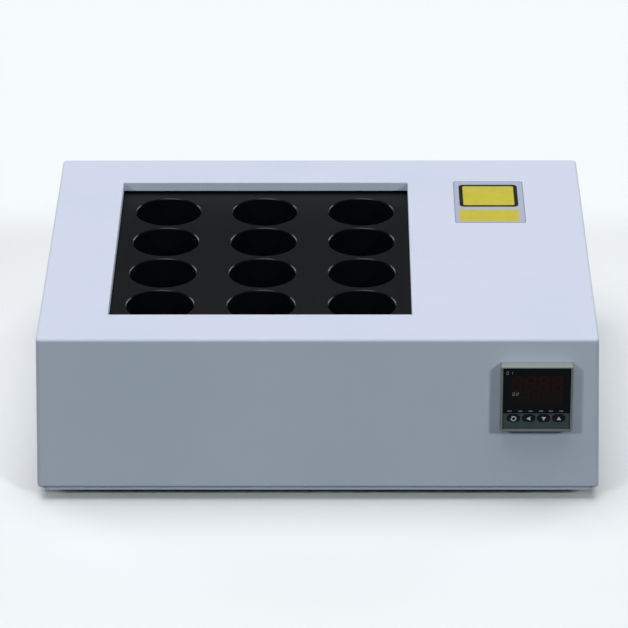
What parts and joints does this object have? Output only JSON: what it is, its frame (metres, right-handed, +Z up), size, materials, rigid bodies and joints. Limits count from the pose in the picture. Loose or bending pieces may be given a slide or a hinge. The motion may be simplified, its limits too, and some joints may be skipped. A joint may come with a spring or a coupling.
{
  "type": "dry heating block",
  "caption": "Bench heating block: rows of round wells in a recessed black metal block, folded pale housing, panel controller at the front right.",
  "frame": {"origin": "on the ground under the middle of the whole instrument", "axes": "+X to the right, +Y to the back, +Z up; the controller faces -Y"},
  "size_m": [0.3766, 0.3054, 0.1215],
  "materials": {
    "powder_coat": "smooth satin powder coat, pale grey-lavender",
    "powder_coat_base": "satin powder coat",
    "foot_rubber": "moulded, matt",
    "screw_steel": "zinc plated",
    "black_anodised_block": "machined and hard anodised black",
    "heater_steel": "ground stainless sheath",
    "insulation_blanket": "needled ceramic fibre",
    "insulation_board": "pressed calcium silicate",
    "galvanised_sheet": "galvanised, spangled",
    "controller_plastic": "moulded ABS, fine grain",
    "controller_window": "smoked acrylic, glossy",
    "key_band": "printed film, satin",
    "key_rubber": "moulded silicone",
    "circuit_board": "solder mask green",
    "sink_aluminium": "extruded, clear anodised",
    "relay_plastic": "moulded black",
    "inlet_plastic": "moulded nylon, black",
    "blade_brass": "nickel plated brass",
    "rocker_plastic": "moulded, glossy black",
    "fuse_glass": "glass tube with plated caps",
    "label_film": "clear polyester film with printed fields"
  },
  "bodies": {
    "housing": {"top_cover": "powder_coat", "base_plate": "powder_coat_base", "foot_front_left": "foot_rubber", "foot_front_right": "foot_rubber", "foot_back_left": "foot_rubber", "foot_back_right": "foot_rubber", "foot_screws": "screw_steel", "foot_nuts": "screw_steel", "pillar_screws": "screw_steel", "pillar_nuts": "screw_steel", "case_pillars": "screw_steel", "cover_screws": "screw_steel", "heating_block": "black_anodised_block", "heater_plate": "black_anodised_block", "cartridge_heater_1": "heater_steel", "cartridge_heater_2": "heater_steel", "cartridge_heater_3": "heater_steel", "cartridge_heater_4": "heater_steel", "block_sensor": "heater_steel", "overheat_cutout": "heater_steel", "block_spacers": "screw_steel", "block_bolts": "screw_steel", "wrap_insulation": "insulation_blanket", "base_insulation": "insulation_board", "inner_case": "galvanised_sheet", "bay_shield": "galvanised_sheet", "controller_bezel": "controller_plastic", "controller_window": "controller_window", "controller_fascia": "key_band", "controller_circuit": "circuit_board", "display_module": "controller_window", "controller_housing": "controller_plastic", "controller_terminals": "controller_plastic", "controller_clamp": "controller_plastic", "relay_heatsink": "sink_aluminium", "solid_state_relay": "relay_plastic", "terminal_strip": "relay_plastic", "earth_stud": "screw_steel", "inlet_housing": "inlet_plastic", "inlet_blades": "blade_brass", "inlet_screws": "screw_steel", "top_label": "label_film"},
    "key_set": {"key_set": "key_rubber"},
    "key_shift": {"key_shift": "key_rubber"},
    "key_down": {"key_down": "key_rubber"},
    "key_up": {"key_up": "key_rubber"},
    "rocker": {"rocker": "rocker_plastic"},
    "fuse_drawer": {"fuse_drawer": "inlet_plastic", "fuse": "fuse_glass"}
  },
  "joints": [
    {"name": "press_set", "type": "slide", "parent": "housing", "child": "key_set", "axis": [0, 1, 0], "range_m": [0, 0.0006], "stiffness_N_per_m": 1500},
    {"name": "press_shift", "type": "slide", "parent": "housing", "child": "key_shift", "axis": [0, 1, 0], "range_m": [0, 0.0006], "stiffness_N_per_m": 1500},
    {"name": "press_down", "type": "slide", "parent": "housing", "child": "key_down", "axis": [0, 1, 0], "range_m": [0, 0.0006], "stiffness_N_per_m": 1500},
    {"name": "press_up", "type": "slide", "parent": "housing", "child": "key_up", "axis": [0, 1, 0], "range_m": [0, 0.0006], "stiffness_N_per_m": 1500},
    {"name": "rocker_switch", "type": "hinge", "parent": "housing", "child": "rocker", "pos_m": [0.13947, 0.1474, 0.0731], "axis": [0, 0, 1], "range_deg": [0, 20]},
    {"name": "fuse_drawer_slide", "type": "slide", "parent": "housing", "child": "fuse_drawer", "axis": [0, 1, 0], "range_m": [0, 0.018]}
  ]
}
